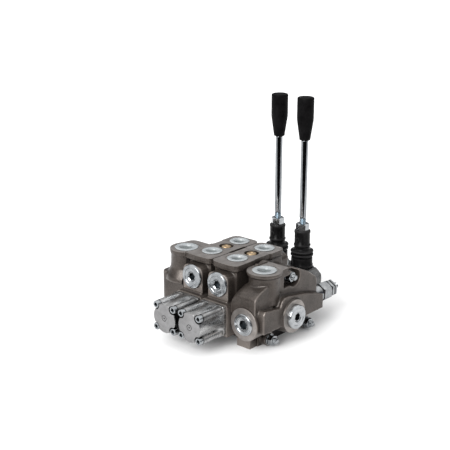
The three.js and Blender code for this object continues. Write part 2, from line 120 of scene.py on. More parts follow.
class Solid:
    """Closed shells in millimetres, collected into one mesh."""

    def __init__(self):
        self.vertices = []
        self.faces = []

    def loft(self, rings, closed=False):
        """Skins a list of rings with the same number of points, and caps the two ends."""
        start, count = len(self.vertices), len(rings[0])
        for ring in rings:
            self.vertices.extend(ring)
        pairs = [(k, k + 1) for k in range(len(rings) - 1)]
        if closed:
            pairs.append((len(rings) - 1, 0))
        for low, high in pairs:
            for i in range(count):
                j = (i + 1) % count
                quad = (low * count + i, low * count + j, high * count + j, high * count + i)
                self.faces.append([start + v for v in quad])
        if not closed:
            self.faces.append([start + i for i in reversed(range(count))])
            self.faces.append([start + (len(rings) - 1) * count + i for i in range(count)])
        return self

    def prism(self, axis, outline, low, high):
        return self.loft([[on_axis(axis, s, a, b) for a, b in outline] for s in (low, high)])

    def block(self, x, y, z):
        return self.prism("Z", [(x[0], y[0]), (x[1], y[0]), (x[1], y[1]), (x[0], y[1])], *z)

    def turned(self, axis, centre, profile, sides=64, closed=False, wave=None):
        """A turned shape from (radius, station) pairs; wave(angle, station) is added to the radius."""
        rings = []
        for radius, station in profile:
            ring = []
            for i in range(sides):
                angle = 2 * math.pi * i / sides
                r = radius + (wave(angle, station) if wave else 0.0)
                a, b = centre[0] + r * math.cos(angle), centre[1] + r * math.sin(angle)
                ring.append(on_axis(axis, station, a, b))
            rings.append(ring)
        return self.loft(rings, closed)

    def rod(self, axis, centre, radius, low, high, sides=64):
        return self.turned(axis, centre, [(radius, low), (radius, high)], sides)

    def object(self, name):
        mesh = bpy.data.meshes.new(name)
        mesh.from_pydata([tuple(v) for v in self.vertices], [], self.faces)
        shape = bmesh.new()
        shape.from_mesh(mesh)
        bmesh.ops.recalc_face_normals(shape, faces=shape.faces)
        shape.to_mesh(mesh)
        shape.free()
        made = bpy.data.objects.new(name, mesh)
        bpy.context.scene.collection.objects.link(made)
        return made


def baked(obj):
    """Replaces an object's mesh by what its modifiers make of it."""
    graph = bpy.context.evaluated_depsgraph_get()
    mesh = bpy.data.meshes.new_from_object(obj.evaluated_get(graph), depsgraph=graph)
    old = obj.data
    mesh.materials.clear()
    obj.modifiers.clear()
    obj.data = mesh
    bpy.data.meshes.remove(old)
    return obj


def boolean(obj, operation, *tools):
    """Joins, cuts or intersects an object with solids; each solid's own shells don't overlap."""
    for tool in tools:
        other = tool.object("tool")
        step = obj.modifiers.new("step", "BOOLEAN")
        step.operation = operation
        step.solver = "MANIFOLD"
        step.object = other
        baked(obj)
        mesh = other.data
        bpy.data.objects.remove(other)
        bpy.data.meshes.remove(mesh)
    return obj


def cut(obj, *tools):
    return boolean(obj, "DIFFERENCE", *tools)


VOXEL = 0.9


def remeshed(obj):
    """One closed skin of small even squares."""
    step = obj.modifiers.new("voxels", "REMESH")
    step.mode = "VOXEL"
    step.voxel_size = VOXEL
    return baked(obj)


def melted(obj, passes):
    """Rounds edges and fills corners, as a casting has them."""
    step = obj.modifiers.new("melt", "SMOOTH")
    step.factor = 0.5
    step.iterations = passes
    return baked(obj)


def cast(name, raw, recesses=(), length=1.9):
    """A cast body: the rough solid with its recesses, made one skin whose edges are rounded over a length."""
    body = remeshed(raw.object(name))
    if recesses:
        body = remeshed(cut(body, *recesses))
    return melted(body, max(2, round(4 * (length / VOXEL) ** 2)))


def shade(obj, limit=32):
    """Smooth shading with edges sharper than the limit left crisp."""
    shape = bmesh.new()
    shape.from_mesh(obj.data)
    bmesh.ops.remove_doubles(shape, verts=shape.verts, dist=1e-4)
    for face in shape.faces:
        face.smooth = True
    for edge in shape.edges:
        edge.smooth = len(edge.link_faces) == 2 and edge.calc_face_angle(0) < math.radians(limit)
    shape.to_mesh(obj.data)
    shape.free()


def settle(obj, materials, x, limit):
    """Shades a mesh, gives it its materials, and puts it in the CAD frame, x further along the stack."""
    shade(obj, limit)
    for material in materials:
        obj.data.materials.append(material)
    obj.data.transform(Matrix.Translation(ORIGIN) @ Matrix.Scale(MM, 4) @ Matrix.Translation((x, 0, 0)))


def publish(obj, body, materials, nodes=(), x=0.0, limit=32):
    """Settles a finished piece, and makes it ride on its body in place of CAD nodes."""
    settle(obj, materials, x, limit)
    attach(obj, body)
    if nodes:
        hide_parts(*nodes)


def mark_machined(obj, planes, tolerance=0.03):
    """Gives the faces that lie on machined planes the second material. A plane is (axis, station)."""
    for face in obj.data.polygons:
        for axis, station in planes:
            i = "XYZ".index(axis)
            if abs(face.center[i] - station) < tolerance and abs(face.normal[i]) > 0.99:
                face.material_index = 1


# -------------------- materials


def opaque(colour):
    """A grey or a colour as red, green, blue and alpha."""
    return (*colour, 1.0) if isinstance(colour, tuple) else (colour, colour, colour, 1.0)


class Recipe:
    """A node material under construction; lengths are in millimetres of the object."""

    def __init__(self, name):
        self.material = bpy.data.materials.new(name)
        self.material.use_nodes = True
        self.nodes = self.material.node_tree.nodes
        self.links = self.material.node_tree.links
        self.shader = self.nodes["Principled BSDF"]
        self.place = self.nodes.new("ShaderNodeTexCoord").outputs["Object"]

    def feed(self, socket, value):
        """Links an input to an output, or sets it."""
        if isinstance(value, bpy.types.NodeSocket):
            self.links.new(value, socket)
        else:
            socket.default_value = value

    def add(self, kind, inputs=None, **settings):
        node = self.nodes.new(kind)
        for key, value in settings.items():
            setattr(node, key, value)
        for key, value in (inputs or {}).items():
            self.feed(node.inputs[key], value)
        return node

    def stretched(self, x, y, z):
        mapping = self.add("ShaderNodeMapping", {"Vector": self.place, "Scale": (x, y, z)})
        return mapping.outputs["Vector"]

    def noise(self, size, detail=3.0, roughness=0.55, vector=None):
        """Noise with features of about this size in millimetres."""
        inputs = {"Vector": vector or self.place, "Scale": 1.0 / (size * MM)}
        inputs.update(Detail=detail, Roughness=roughness)
        return self.add("ShaderNodeTexNoise", inputs).outputs["Fac"]

    def ramp(self, value, *stops):
        """Maps a value through (position, grey or colour) stops."""
        node = self.add("ShaderNodeValToRGB", {"Fac": value})
        while len(node.color_ramp.elements) < len(stops):
            node.color_ramp.elements.new(0.5)
        for element, (position, colour) in zip(node.color_ramp.elements, stops):
            element.position = position
            element.color = opaque(colour)
        return node.outputs["Color"]

    def mix(self, factor, first, second):
        node = self.add("ShaderNodeMix", data_type="RGBA")
        for name, kind, value in (("Factor", "VALUE", factor), ("A", "RGBA", first), ("B", "RGBA", second)):
            if kind == "RGBA" and not isinstance(value, bpy.types.NodeSocket):
                value = opaque(value)
            self.feed(next(s for s in node.inputs if s.name == name and s.type == kind), value)
        return next(s for s in node.outputs if s.type == "RGBA")

    def maths(self, operation, *values):
        return self.add("ShaderNodeMath", dict(enumerate(values)), operation=operation).outputs[0]

    def pointed(self, *stops):
        """Maps a surface's pointiness through stops: hollows are below 0.5, outer edges above."""
        return self.ramp(self.add("ShaderNodeNewGeometry").outputs["Pointiness"], *stops)

    def bump(self, height, depth, below=None):
        """A bump whose height of 1 is this deep in millimetres."""
        inputs = {"Height": height, "Distance": depth * MM, "Strength": 1.0}
        if below is not None:
            inputs["Normal"] = below
        return self.add("ShaderNodeBump", inputs).outputs["Normal"]

    def finish(self, **inputs):
        for key, value in inputs.items():
            self.feed(self.shader.inputs[key.replace("_", " ")], value)
        return self.material


def cast_skin():
    """Oiled grey iron: brown-grey and mottled, its edges brightened by painted highlight and wear, its
    corners darkened by painted shade.
    """
    r = Recipe("cast_skin")
    cloud = r.noise(24, 4, 0.6)
    grain = r.noise(1.3, 3, 0.65)
    base = r.ramp(cloud, (0.32, (0.027, 0.0215, 0.018)), (0.68, (0.070, 0.058, 0.050)))
    base = r.mix(r.ramp(grain, (0.42, 0.0), (0.66, 0.6)), base, (0.092, 0.078, 0.069))
    base = r.mix(r.ramp(r.noise(6, 5, 0.7), (0.52, 0.0), (0.70, 0.8)), base, (0.020, 0.015, 0.013))
    # Painted highlight, with some wear: convex edges, found by pointiness, are mixed towards a pale brown.
    base = r.mix(r.maths("MULTIPLY", r.pointed((0.505, 0.0), (0.555, 1.0)), 0.7), base, (0.24, 0.21, 0.19))
    # Painted shade: hollows and inside corners, found by pointiness, are mixed towards near black.
    base = r.mix(r.pointed((0.455, 1.0), (0.494, 0.0)), base, (0.009, 0.007, 0.006))
    gloss = r.ramp(r.noise(8, 4, 0.6), (0.3, 0.27), (0.72, 0.45))
    skin = r.bump(r.noise(3.2, 4, 0.6), 0.16)
    skin = r.bump(grain, 0.10, below=skin)
    return r.finish(Base_Color=base, Roughness=gloss, Metallic=0.5, Normal=skin)


def machined_iron():
    """Faces cut from the casting: paler iron with fine lengthwise tool marks."""
    r = Recipe("machined_iron")
    cloud = r.noise(14, 4, 0.6)
    marks = r.noise(0.9, 2, 0.5, r.stretched(1.0, 0.035, 1.0))
    base = r.ramp(cloud, (0.32, (0.18, 0.162, 0.150)), (0.7, (0.32, 0.295, 0.278)))
    base = r.mix(r.ramp(marks, (0.35, 0.0), (0.65, 0.35)), base, (0.36, 0.338, 0.322))
    base = r.mix(r.ramp(r.noise(2.2, 4, 0.7), (0.60, 0.0), (0.72, 0.55)), base, (0.10, 0.088, 0.08))
    gloss = r.ramp(r.noise(6, 3), (0.3, 0.30), (0.7, 0.46))
    return r.finish(Base_Color=base, Roughness=gloss, Metallic=0.8, Normal=r.bump(marks, 0.012))


def die_cast(name, light):
    """Bare die-cast alloy in cloudy greys up to this lightness."""
    r = Recipe(name)
    cloud = r.noise(10, 4, 0.6, r.stretched(1.0, 0.3, 1.0))
    base = r.ramp(cloud, (0.32, light * 0.22), (0.5, light * 0.55), (0.70, light * 1.05))
    streaks = r.noise(3, 3, 0.6, r.stretched(1.0, 0.2, 1.0))
    base = r.mix(r.ramp(streaks, (0.50, 0.0), (0.72, 0.45)), base, light * 0.3)
    gloss = r.ramp(r.noise(6, 3, 0.55), (0.3, 0.2), (0.7, 0.38))
    skin = r.bump(r.noise(6, 2), 0.08)
    skin = r.bump(r.noise(0.9, 2), 0.006, below=skin)
    return r.finish(Base_Color=base, Roughness=gloss, Metallic=0.9, Normal=skin)


def blasted_face():
    """The matt front of the spring caps."""
    r = Recipe("blasted_face")
    cloud = r.noise(9, 4, 0.6)
    base = r.ramp(cloud, (0.3, (0.19, 0.188, 0.19)), (0.7, (0.27, 0.268, 0.27)))
    base = r.mix(r.ramp(r.noise(0.6, 2), (0.45, 0.0), (0.7, 0.4)), base, (0.36, 0.358, 0.36))
    return r.finish(Base_Color=base, Roughness=0.55, Metallic=0.75, Normal=r.bump(r.noise(0.5, 2), 0.03))


def plated(name, dark, light, low, high, scratch=0.002):
    """Bright plated steel with cloudy colour and fine handling marks."""
    r = Recipe(name)
    base = r.ramp(r.noise(7, 4, 0.6), (0.3, dark), (0.7, light))
    marks = r.noise(0.35, 2, 0.5, r.stretched(1.0, 0.5, 0.08))
    gloss = r.ramp(r.noise(3, 4, 0.6), (0.3, low), (0.7, high))
    return r.finish(Base_Color=base, Roughness=gloss, Metallic=1.0, Normal=r.bump(marks, scratch))


def brass():
    r = Recipe("turned_brass")
    base = r.ramp(r.noise(4, 4, 0.6), (0.3, (0.25, 0.17, 0.09)), (0.7, (0.40, 0.30, 0.19)))
    return r.finish(Base_Color=base, Roughness=0.34, Metallic=0.7, Normal=r.bump(r.noise(0.4, 2), 0.012))


def rubber():
    r = Recipe("boot_rubber")
    base = r.ramp(r.noise(6, 4, 0.6), (0.3, (0.0035, 0.0034, 0.0035)), (0.7, (0.009, 0.0088, 0.009)))
    dust = r.ramp(r.noise(1.0, 5, 0.7), (0.62, 0.0), (0.78, 0.25))
    base = r.mix(dust, base, (0.03, 0.029, 0.028))
    # Painted highlight: the boot's convex edges, found by pointiness, are mixed lighter.
    base = r.mix(r.pointed((0.52, 0.0), (0.60, 1.0)), base, (0.035, 0.034, 0.035))
    gloss = r.ramp(r.noise(4, 3), (0.3, 0.18), (0.7, 0.34))
    skin = r.bump(r.noise(0.5, 3), 0.015)
    return r.finish(Base_Color=base, Roughness=gloss, Specular_IOR_Level=0.07, Normal=skin)


def knob_plastic():
    r = Recipe("knob_plastic")
    base = r.ramp(r.noise(10, 3), (0.3, (0.0022, 0.002, 0.0022)), (0.7, (0.006, 0.0057, 0.006)))
    gloss = r.ramp(r.noise(2.5, 4, 0.6), (0.3, 0.34), (0.7, 0.46))
    skin = r.bump(r.noise(0.45, 2), 0.02)
    return r.finish(Base_Color=base, Roughness=gloss, Specular_IOR_Level=0.03, Normal=skin)


def milky(name, dark, light):
    """Milky plastic of the dust plugs."""
    r = Recipe(name)
    base = r.ramp(r.noise(5, 3), (0.3, dark), (0.7, light))
    gloss = r.ramp(r.noise(2, 3), (0.3, 0.22), (0.7, 0.38))
    return r.finish(Base_Color=base, Roughness=gloss, IOR=1.45, Normal=r.bump(r.noise(2.5, 2), 0.006))


CAST = cast_skin()
MACHINED = machined_iron()
DIE_CAST = die_cast("die_cast", 0.47)
BOX_CAST = die_cast("box_cast", 0.16)
# A near-black die cast that paints shade into the caps' screw notches, the side facing the other cap, and the
# ring mark's groove.
PAINTED_SHADE_CAST = die_cast("painted_shade_cast", 0.05)
# A dark plating that paints the shade, with oil, inside hexagon sockets.
SOCKET = plated("socket_shade_and_oil", (0.03, 0.035, 0.038), (0.10, 0.112, 0.12), 0.25, 0.4)
BLASTED = blasted_face()
ZINC = plated("zinc_plate", (0.22, 0.234, 0.248), (0.38, 0.395, 0.405), 0.15, 0.25, 0.0002)
BRIGHT_ZINC = plated("bright_zinc", (0.28, 0.295, 0.31), (0.46, 0.475, 0.485), 0.15, 0.25, 0.0002)
DULL_ZINC = plated("dull_zinc", (0.18, 0.188, 0.196), (0.37, 0.38, 0.386), 0.12, 0.22, 0.0005)
THREAD_ZINC = plated("thread_zinc", (0.22, 0.29, 0.34), (0.38, 0.45, 0.50), 0.2, 0.34)
CHROME = plated("chrome_plate", (0.20, 0.212, 0.225), (0.28, 0.29, 0.30), 0.04, 0.09, 0.0004)
STEEL = plated("oiled_steel", (0.16, 0.16, 0.165), (0.34, 0.34, 0.345), 0.28, 0.45)
BRASS = brass()
RUBBER = rubber()
KNOB = knob_plastic()
# The second milky plastic is darker: painted shade for the well of each dust plug.
MILKY = [
    milky("milky_rim", (0.24, 0.26, 0.27), (0.32, 0.335, 0.34)),
    milky("milky_well_painted_shade", (0.085, 0.096, 0.10), (0.13, 0.145, 0.146)),
]
IRON = [CAST, MACHINED]

# -------------------- castings

TIE_RODS = tuple(((low + high) / 2).yz for low, high in (extent(f"tie_nut_outlet_{n}") for n in (1, 2, 3)))
TIE_SEATS = tuple(extent(f"tie_nut_inlet_{n}")[0].x - 0.3 for n in (1, 2, 3))
TIE_HOLE = 4.5
PORT_Y = (26.8, 83.9)
CHECK_Y = 56.0
AUX_Z = 84.2
AUX_FACES = (-12.0, 114.0)
SPOT_DEPTH = 0.35
OUTLET_SEAT = -58  # where the outlet's nuts sit
INLET_TOP = 104.2
RELIEF_AT = (95.6, 39.0)
SCREW_AT = 15.5  # the cap screws, to each side of the spool's axis
CORNERS = ((-1, -1), (-1, 1), (1, -1), (1, 1))
OVER = 2.0  # rough casting left on each machined face before it is cut


def tie_holes(low, high):
    holes = Solid()
    for centre in TIE_RODS:
        holes.rod("X", centre, TIE_HOLE, low, high, 32)
    return holes


def port_cutter(solid, x, y, face, bore, spot):
    """A port with a shallow machined seat around it."""
    low, seat = face - 16, face - SPOT_DEPTH
    return solid.turned("Z", (x, y), [(bore, low), (bore, seat), (spot, seat), (spot, face + 4)], 72)


def plate_outline(open_left):
    """Top of a working section: convex front edge, soft corners, and a waist on its sides."""
    side, waist, front, rear, corner = 22.3, 20.6, -2.0, 102.0, 8.0
    right = arc(side - corner, front + corner, corner, -80, 0)
    right += [(side, 36), (waist, 39), (waist, 69), (side, 72)] + arc(side - 9, rear - 9, 9, 0, 90)
    left = [(-x, y) for x, y in reversed(right)]
    if open_left:
        left = [(-x, y) for x, y in reversed(arc(side - 9, rear - 9, 9, 0, 90))]
        left += [(-side, 72), (-waist, 69), (-waist, 52), (-HALF - OVER, 47), (-HALF - OVER, front + 1)]
    bulge = [(x, front - 0.9 * (1 - (x / 14) ** 2)) for x in (-9, -4.5, 0, 4.5, 9)]
    return bulge + right + left


def aux_outline():
    """A valve boss: straight sides down into the body, large round corners at its top."""
    half, top, corner = 17.6, 99.5, 9.0
    outline = [(-half, 55), (half, 55)] + arc(half - corner, top - corner, corner, 0, 90)
    return outline + arc(corner - half, top - corner, corner, 90, 180)


def working_section(n, x):
    side = HALF + OVER
    raw = Solid()
    shoulders = [(-side, 17), (side, 17), (side, 56)] + arc(17.5, 56, 6, 0, 90) + arc(-17.5, 56, 6, 90, 180)
    raw.prism("Y", shoulders + [(-side, 56)], SEAT_FRONT - OVER, 6)
    raw.block((-side, side), (4, SEAT_REAR + OVER), (17, 62))
    raw.block((-side, side), (14, SEAT_REAR + OVER), (SECTION[0].z, 22))
    raw.block((-19.2, 19.2), (2.5, 99), (58, 104))
    raw.prism("Z", plate_outline(open_left=n == 1), 102, PLATE_TOP + OVER + 1)
    raw.rod("X", TIE_RODS[2], 11, -side, side)
    for low, high in ((AUX_FACES[0] - OVER, 8), (92, AUX_FACES[1] + OVER)):
        raw.prism("Y", aux_outline(), low, high)
    body = cast(f"working_section_{n}_casting", raw)

    envelope = Solid().block((-HALF, HALF), (SEAT_FRONT, SEAT_REAR), (SECTION[0].z, PLATE_TOP))
    boolean(body, "INTERSECT", envelope)
    trims = Solid()
    for y in ((-60, AUX_FACES[0]), (AUX_FACES[1], 160)):
        trims.block((-40, 40), y, (63.5, 130))
    vertical = Solid().turned("Z", (0, CHECK_Y), [(7.2, 66), (7.2, 103.5), (10.25, 103.5), (10.25, 120)], 48)
    for y in PORT_Y:
        port_cutter(vertical, 0, y, PLATE_TOP, 10.5, 16.6)
    level = Solid().rod("Y", (0, SPOOL_Z), 8.3, -30, 130).rod("Y", (0, AUX_Z), 10, -30, 22)
    level.rod("Y", (0, AUX_Z), 10, 87, 130)
    for sign_x, sign_z in CORNERS:
        level.rod("Y", (SCREW_AT * sign_x, SPOOL_Z + SCREW_AT * sign_z), 3.3, -30, -5, 24)
    cut(body, trims, vertical, level, tie_holes(-30, 30))
    mark_machined(body, [("Z", PLATE_TOP), ("Z", PLATE_TOP - SPOT_DEPTH)])
    publish(body, BLOCK, IRON, [f"working_section_{n}"], x)


OUTLET = extent("outlet_section")
PORT_T = middle("port_plug_t")
INLET = extent("inlet_section")
PORT_P = middle("port_plug_p")
INLET_X = (middle("inlet_front_plug").x - ORIGIN.x) / MM


def outlet_section():
    joint, left, rear = OUTLET[1].x, OUTLET[0].x, OUTLET[1].y
    tx, ty = local(PORT_T).x, local(PORT_T).y
    top = OUTLET[1].z
    raw = Solid()
    outline = [(joint + OVER, -8), (joint + OVER, rear)]
    outline += arc(left + 10, rear - 10, 10, 90, 180) + arc(left + 12, 4, 12, 180, 270)
    raw.prism("Z", outline, -OVER, 76)
    hump = [(12, 60), (12, 94), (76, 94), (84, 89.5), (104, 81.5), (rear, 75), (rear, 60)]
    raw.prism("X", hump, -57, joint + OVER)
    neck = [(29.5, 66), (28.5, 72), (25.5, 78), (22.6, 84), (21.9, 90), (21.7, 103)]
    raw.turned("Z", (tx, ty), neck + [(23, 105), (23, top + OVER + 1)])
    plate = [(-45, 2), (joint + OVER, 2), (joint + OVER, 46)] + arc(-46, 37, 9, 90, 160, 5) + [(-58, 22)]
    raw.prism("Z", plate, top - 7, top + OVER + 1)
    pockets = Solid()
    for centre in TIE_RODS[:2]:
        pockets.turned("X", centre, [(13.5, left - 3), (12.5, OUTLET_SEAT - OVER)])
    body = cast("outlet_casting", raw, [pockets])
    boolean(body, "INTERSECT", Solid().block((left, joint), (-60, rear + 5), (0, top)))
    seats = Solid()
    for centre in TIE_RODS:
        seats.rod("X", centre, 12, left - 5, OUTLET_SEAT)
    cut(body, port_cutter(Solid(), tx, ty, top, 12, 19.3), seats, tie_holes(-90, 0))
    mark_machined(body, [("Z", top), ("Z", top - SPOT_DEPTH), ("X", joint), ("X", OUTLET_SEAT), ("Z", 0)])
    publish(body, BLOCK, IRON, ["outlet_section"])


def shoulder(solid, joint, end):
    """The humped passage over the front boss, which falls away in an arch towards the joint face."""
    rings = []
    for i in range(25):
        x = joint - OVER + (end - joint + OVER) * i / 24
        reach = max(0.0, min(1.0, (85 - x) / (85 - joint + OVER)))
        drop = 17 * (1 - math.sqrt(max(0.0, 1 - reach * reach)))
        crest = [(-12, 73.5), (-10.8, 77), (-6.5, 81), (-1, 84), (7, 87), (12, 89), (30, 89)]
        rings.append([(x, y, z) for y, z in [(-12, 50)] + [(y, z - drop) for y, z in crest] + [(30, 50)]])
    solid.loft(rings)


def bead(solid, points, radius, sides=10):
    """A raised bead along a line."""
    rings = []
    for k, point in enumerate(points):
        here = Vector(point)
        ahead = Vector(points[min(k + 1, len(points) - 1)]) - Vector(points[max(k - 1, 0)])
        up = Vector((1, 0, 0)) if abs(ahead.normalized().x) < 0.9 else Vector((0, 0, 1))
        a = ahead.cross(up).normalized()
        b = ahead.cross(a).normalized()
        rings.append([
            here + (a * math.cos(2 * math.pi * i / sides) + b * math.sin(2 * math.pi * i / sides)) * radius
            for i in range(sides)
        ])
    solid.loft(rings)


def inlet_section():
    joint, wall, right = INLET[0].x, 110.0, 121.5
    rear, top = 121.0, INLET_TOP
    px, py = local(PORT_P).x, local(PORT_P).y
    boss_face, side_face = -13.8, INLET[1].x
    side_y, side_z = local(middle("inlet_side_plug")).yz
    raw = Solid()
    raw.block((joint - OVER, 91.5 + OVER), (-OVER, rear), (-OVER, 40))
    raw.block((joint - OVER, 106), (-8, rear), (27, 64))
    crest = [(rear, 51), (104, 57), (83, 62.5), (48, 68.5), (37, 69), (32, 66), (27, 57), (-5, 62), (-8, 58)]
    raw.prism("X", [(-8, 31), (rear, 31)] + crest, 98, right)
    bead(raw, [(right - 1.7, y, z - 0.6) for y, z in crest[:-1]], 1.5)
    bead(raw, [(right - 1.3, -6.9, z) for z in (33, 42, 50, 57)], 1.3)
    wall_line = [(20, 50), (rear, 50), (rear, 71), (118, 76), (103, 86.5), (82, 96.5), (58, 98), (20, 98)]
    raw.prism("X", wall_line, 74, wall)
    flange_line = [(36, 60), (rear, 60), (rear, 71), (118, 76), (103, 87), (85, 94), (67, 100)]
    flange_line += [(58, 105.5), (52, 107), (46, 105.5), (41, 101.5), (36, 94)]
    raw.prism("X", flange_line, joint - OVER, joint + 5.5)
    shoulder(raw, joint, wall)
    raw.turned("Z", (px, py), [(21.3, 60), (20.6, 90), (20.6, 98.5), (23.7, 99.8), (23.7, top + OVER)])
    edge = ((-11, 60), (-11, 73), (-9.8, 76.4), (-5.8, 80.2), (0, 83.2), (5, 85.4))
    bead(raw, [(wall - 1.0, y, z) for y, z in edge], 1.3)
    plate = [(76, py), (wall, py)] + arc(wall - 3, 55, 3, 0, 90, 3) + arc(79, 55, 3, 90, 180, 3)
    raw.prism("Z", plate, 98, top + OVER)
    raw.rod("Y", (INLET_X, SPOOL_Z), 21.2, boss_face + 2, 10)
    side_boss = [(25.5, 100), (24.4, 116), (23.4, 120), (22.9, 122), (22.9, side_face + OVER)]
    raw.turned("X", (side_y, side_z), side_boss)
    for centre, seat in zip(TIE_RODS[:2], TIE_SEATS):
        raw.rod("X", centre, 9.4, joint, seat + OVER)
    pocket = Solid().block((TIE_SEATS[2] - 0.5, 116), (47, 72), (77.5, 93))
    nut_room = Solid().turned("X", TIE_RODS[2], [(11.5, TIE_SEATS[2] - 0.5), (12.5, 116)])
    body = cast("inlet_casting", raw, [pocket, nut_room], length=1.5)
    boolean(body, "INTERSECT", Solid().block((joint, side_face), (-60, rear), (0, 120)))
    trims = Solid().block((75.3, 130), (-30, 61), (top, 130))
    trims.block((60, 75.3), (-30, 35), (top, 130))
    fronts = Solid().block((60, 140), (-40, boss_face + 0.7), (-10, 140))
    foot_front = Solid().block((60, 140), (-20, 0), (-10, 12))
    foot_side = Solid().block((91.5, 140), (-20, 14), (-10, 25))
    foot_side.block((91.5, 140), (40, 92), (-10, 17))
    seats = Solid()
    for centre, seat in zip(TIE_RODS[:2], TIE_SEATS):
        seats.rod("X", centre, 12, seat, 122)
    level = Solid().rod("Y", (INLET_X, SPOOL_Z), 12, -30, 4).rod("Y", RELIEF_AT, 12.3, 99, 130)
    cut(body, trims, fronts, foot_front, foot_side, seats, port_cutter(Solid(), px, py, top, 12, 19.6))
    ring = [(22.3, 4), (22.7, boss_face + 0.5), (22.2, boss_face)]
    boolean(body, "UNION", Solid().turned("Y", (INLET_X, SPOOL_Z), ring, 96))
    cut(body, level, Solid().rod("X", (38.7, 75.2), 1.1, wall - 3, wall + 3, 16))
    cut(body, Solid().rod("X", (side_y, side_z), 12, 108, 140), tie_holes(60, 130))
    mark_machined(body, [
        ("X", joint), ("X", side_face), ("X", TIE_SEATS[0]), ("Y", boss_face), ("Y", rear),
        ("Z", 0), ("Z", top), ("Z", top - SPOT_DEPTH),
    ])
    publish(body, BLOCK, IRON, ["inlet_section"])


# -------------------- threads, nuts and plugs


def thread_wave(pitch, depth):
    """A screw thread as a change of radius with angle and station."""
    def wave(angle, station):
        turn = station / pitch - angle / (2 * math.pi)
        return -depth * abs(2 * (turn - math.floor(turn)) - 1)
    return wave


def threaded(solid, axis, centre, radius, low, high, pitch):
    """A threaded length with a short chamfer at its high end."""
    steps = max(2, round((high - low) / pitch * 6))
    stations = [low + (high - low) * i / steps for i in range(steps + 1)]
    profile = [(radius - max(0.0, 0.8 - (high - s)), s) for s in stations]
    return solid.turned(axis, centre, profile, 40, wave=thread_wave(pitch, 0.6 * pitch))


THREAD_PITCH = 1.25
M6_HEAD, M6_SOCKET = 4.86, 5  # radius of a cap screw's head, and its socket across flats


def hex_nut(name, axis, centre, flats, low, high, hole, turn=30.0):
    """A hexagon with turned chamfers and a plain bore, open at both ends."""
    corner = flats / math.sqrt(3)
    nut = Solid().prism(axis, hexagon(*centre, flats, turn), low, high).object(name)
    face = flats / 2 * 0.97
    slope = (corner - face) * 0.6
    chamfers = [(face, low), (corner + 0.2, low + slope), (corner + 0.2, high - slope), (face, high)]
    boolean(nut, "INTERSECT", Solid().turned(axis, centre, chamfers, 72))
    bore = [(hole + 0.7, low - 0.01), (hole, low + 0.7), (hole, high - 0.7), (hole + 0.7, high + 0.01)]
    return cut(nut, Solid().turned(axis, centre, bore, 48))


def socket_cutter(axis, centre, flats, mouth, floor, turn=0.0):
    """A hexagon socket from its mouth to its floor."""
    low, high = min(mouth, floor), max(mouth, floor)
    return Solid().prism(axis, hexagon(*centre, flats, turn), low, high)


def darken_socket(obj, axis, centre, reach, mouth, way):
    """Gives the faces inside a socket the second material: oil, and painted shade."""
    i = "XYZ".index(axis)
    across = [k for k in range(3) if k != i]
    for face in obj.data.polygons:
        off = math.hypot(face.center[across[0]] - centre[0], face.center[across[1]] - centre[1])
        if off < reach and (face.center[i] - mouth) * way > 0:
            face.material_index = 1


def flanged_plug(node, axis, centre, radius, flats, face, seat, root, stem, x=0.0, groove=None, finish=ZINC):
    """A steel plug: chamfered flange, shallow turned step, countersunk hexagon socket."""
    way = 1 if seat > face else -1

    def at(depth):
        return face + way * depth

    profile = [(stem, root), (stem, seat), (radius, seat), (radius, at(1.1)), (radius - 0.25, at(0.55))]
    profile.append((radius - 0.9, at(0)))
    if groove:
        ring, depth = groove
        profile += [(ring + 0.35, at(0)), (ring + 0.12, at(depth))]
        profile += [(ring - 0.12, at(depth)), (ring - 0.35, at(0))]
    rim, step = radius * 0.72, 0.45
    profile += [(rim, at(0)), (rim - 0.5, at(step)), (flats * 0.72, at(step))]
    profile += [(flats * 0.58, at(step + 1.0)), (0.4, at(step + 1.0))]
    plug = Solid().turned(axis, centre, profile, 96).object(f"{node}_steel")
    cut(plug, socket_cutter(axis, centre, flats, at(-1), at(6.5), 15))
    darken_socket(plug, axis, centre, flats * 0.6, at(step + 1.2), way)
    publish(plug, BLOCK, [finish, SOCKET], [node], x)


def port_plug(node, bore, flange, face):
    """A push-in dust plug: a broad soft rim, and a well in its middle."""
    x, y, _ = local(middle(node))
    seat, stem = face + 0.15, bore - 0.3
    well = flange * 0.57
    profile = [(stem - 1.6, -8), (stem, -6), (stem, 0), (flange - 0.3, 0), (flange, 0.3), (flange, 0.9)]
    profile += [(flange - 0.5, 1.3), (flange - 1.8, 1.4), (well + 1.6, 1.4), (well + 0.6, 1.1), (well, 0.4)]
    profile += [(well - 0.4, -1.2), (well - 1.0, -2.2), (well - 2.4, -2.6), (2.2, -2.8), (1.6, -2.2)]
    profile = [(radius, seat + up) for radius, up in profile + [(0.3, -2.1)]]
    plug = Solid().turned("Z", (x, y), profile, 80).object(f"{node}_cap")
    # Faces inside the well get the darker milky plastic: painted shade.
    for polygon in plug.data.polygons:
        centre = polygon.center
        if math.hypot(centre.x - x, centre.y - y) < well - 0.3 and centre.z > seat - 3:
            polygon.material_index = 1
    publish(plug, BLOCK, MILKY, [node], limit=50)


def check_plug(n, x):
    """A domed brass plug with a small recess."""
    profile = [(6.75, 96), (6.75, 109.6), (6.3, 110.3), (5.2, 110.7), (3.9, 110.95), (3.2, 111.05)]
    profile += [(2.6, 110.9), (2.0, 109.9), (0.3, 109.8)]
    plug = Solid().turned("Z", (0, CHECK_Y), profile, 64).object(f"check_plug_{n}_turned")
    publish(plug, BLOCK, [BRASS], [f"check_plug_{n}"], x, limit=50)


